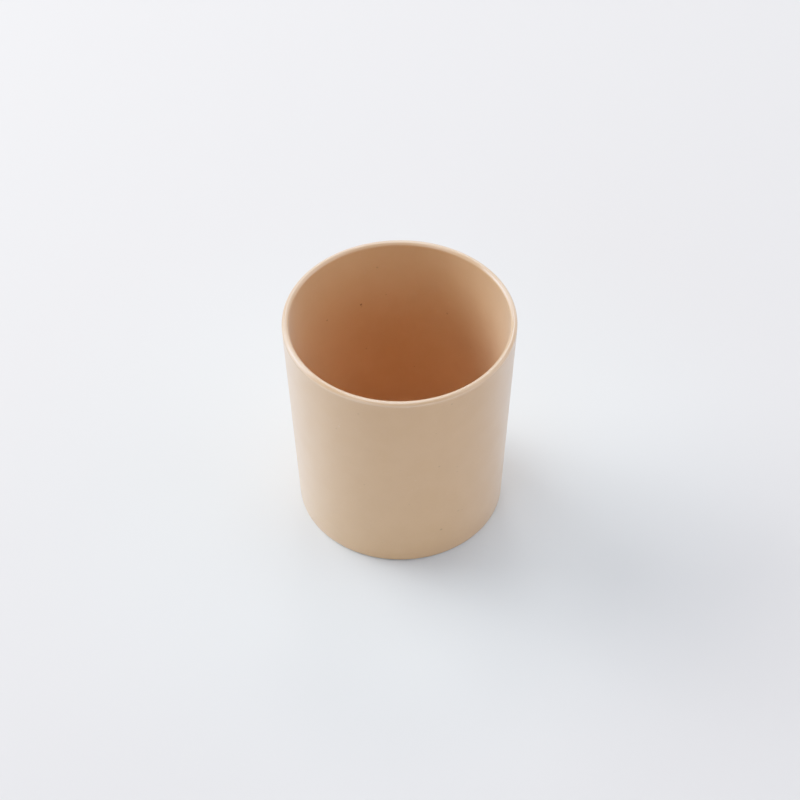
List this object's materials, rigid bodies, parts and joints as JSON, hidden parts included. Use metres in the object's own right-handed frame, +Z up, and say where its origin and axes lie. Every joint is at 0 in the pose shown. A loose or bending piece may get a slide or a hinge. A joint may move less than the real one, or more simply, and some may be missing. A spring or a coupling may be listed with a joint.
{
  "type": "drinking cup",
  "caption": "Straight-sided, slightly tapered drinking cup pressed from bamboo fibre compound, with a rounded lip, an open top and a shallow foot ring to stand on.",
  "frame": {"origin": "centre of the foot ring, in the plane of the table", "axes": "+Z up along the axis of the cup, out of its mouth; X and Y lie in the table and are equivalent, because the cup is a body of revolution"},
  "size_m": [0.08, 0.08, 0.084],
  "materials": {
    "bamboo_fibre": "matte pressed bamboo fibre compound, warm beige, with sparse fine brown flecks"
  },
  "bodies": {
    "root": {"cup_body": "bamboo_fibre"}
  },
  "joints": []
}
